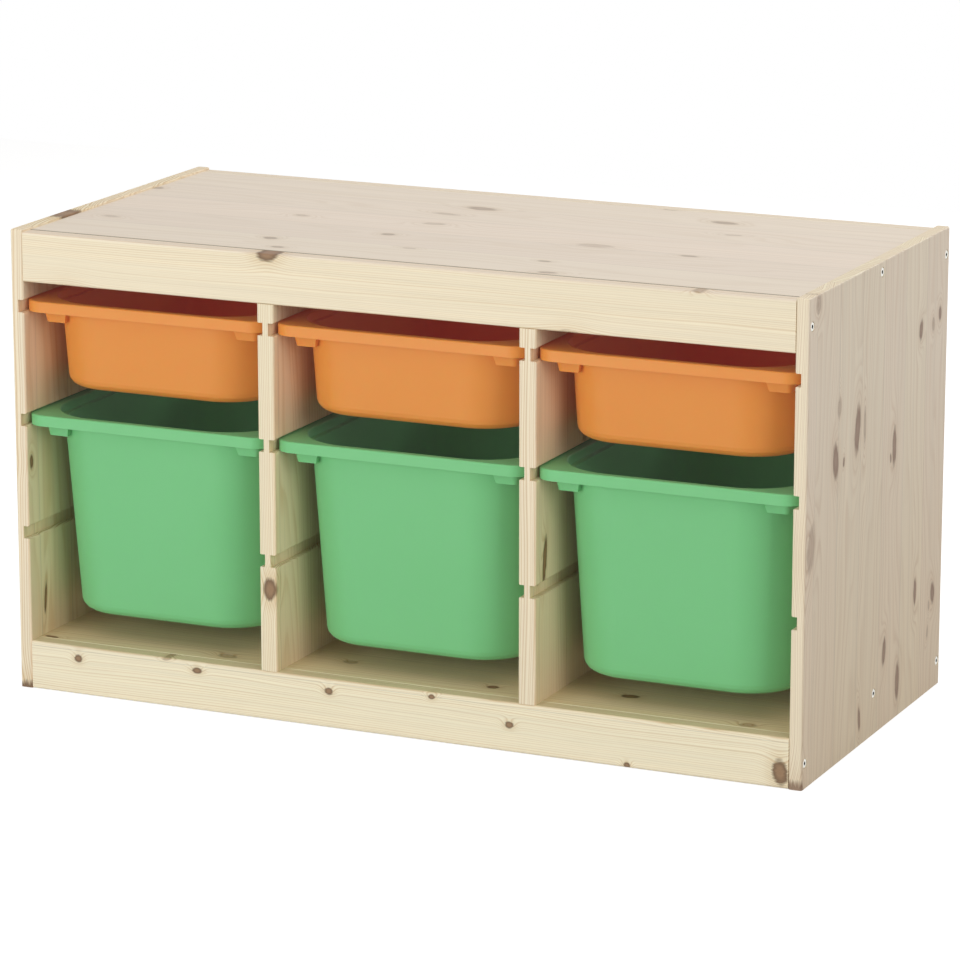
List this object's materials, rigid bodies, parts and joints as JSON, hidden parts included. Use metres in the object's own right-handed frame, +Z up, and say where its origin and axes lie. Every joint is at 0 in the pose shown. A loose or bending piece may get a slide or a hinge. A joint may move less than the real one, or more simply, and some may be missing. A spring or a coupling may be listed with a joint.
{
  "type": "toy storage organizer with bins",
  "caption": "Low pine storage frame with grooved uprights, holding shallow orange and deep green plastic bins that hang by their rims and slide out.",
  "frame": {"origin": "on the floor, in the middle of the frame's footprint", "axes": "+Z up, +X to the right seen from the front, +Y to the back, so the front faces -Y"},
  "size_m": [0.93, 0.44, 0.52],
  "materials": {
    "pine": "unvarnished, planed",
    "beech": "plain",
    "zinc_steel": "zinc plated",
    "orange_plastic": "satin",
    "green_plastic": "satin"
  },
  "bodies": {
    "frame": {"side_panel_left": "pine", "side_panel_right": "pine", "divider_left": "pine", "divider_right": "pine", "top_panel": "pine", "bottom_panel": "pine", "top_front_rail": "pine", "bottom_front_rail": "pine", "top_rear_rail": "pine", "bottom_rear_rail": "pine", "side_screws_left": "zinc_steel", "side_screws_right": "zinc_steel", "side_dowels_left": "beech", "side_dowels_right": "beech", "divider_dowels": "beech", "divider_screws": "zinc_steel"},
    "small_bin_left": {"small_bin_left": "orange_plastic"},
    "small_bin_middle": {"small_bin_middle": "orange_plastic"},
    "small_bin_right": {"small_bin_right": "orange_plastic"},
    "medium_bin_left": {"medium_bin_left": "green_plastic"},
    "medium_bin_middle": {"medium_bin_middle": "green_plastic"},
    "medium_bin_right": {"medium_bin_right": "green_plastic"}
  },
  "joints": [
    {"name": "small_bin_left_slide", "type": "slide", "parent": "frame", "child": "small_bin_left", "axis": [0, -1, 0], "range_m": [0, 0.43]},
    {"name": "small_bin_middle_slide", "type": "slide", "parent": "frame", "child": "small_bin_middle", "axis": [0, -1, 0], "range_m": [0, 0.43]},
    {"name": "small_bin_right_slide", "type": "slide", "parent": "frame", "child": "small_bin_right", "axis": [0, -1, 0], "range_m": [0, 0.43]},
    {"name": "medium_bin_left_slide", "type": "slide", "parent": "frame", "child": "medium_bin_left", "axis": [0, -1, 0], "range_m": [0, 0.43]},
    {"name": "medium_bin_middle_slide", "type": "slide", "parent": "frame", "child": "medium_bin_middle", "axis": [0, -1, 0], "range_m": [0, 0.43]},
    {"name": "medium_bin_right_slide", "type": "slide", "parent": "frame", "child": "medium_bin_right", "axis": [0, -1, 0], "range_m": [0, 0.43]}
  ]
}
